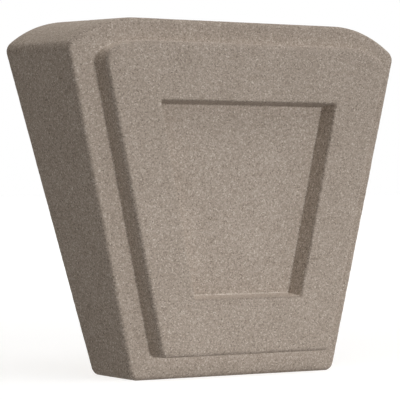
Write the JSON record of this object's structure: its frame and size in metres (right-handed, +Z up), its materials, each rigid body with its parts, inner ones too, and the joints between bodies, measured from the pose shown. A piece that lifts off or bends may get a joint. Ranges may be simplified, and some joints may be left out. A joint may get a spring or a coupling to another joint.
{
  "type": "keystone",
  "caption": "Cast stone keystone: a tapering block with eased shoulders, a raised panel with a sunk field, a plain leaning back and a flat underside.",
  "frame": {"origin": "on the flat underside, below the middle of the bounding box", "axes": "+Z up, the worked face looks along -Y, the plain back looks along +Y and leans out at the top, X = 0 is the plane of symmetry"},
  "size_m": [0.342, 0.127, 0.305],
  "materials": {
    "stone": "fine sandy cast stone, matte, warm grey-brown"
  },
  "bodies": {
    "root": {"keystone": "stone"}
  },
  "joints": []
}
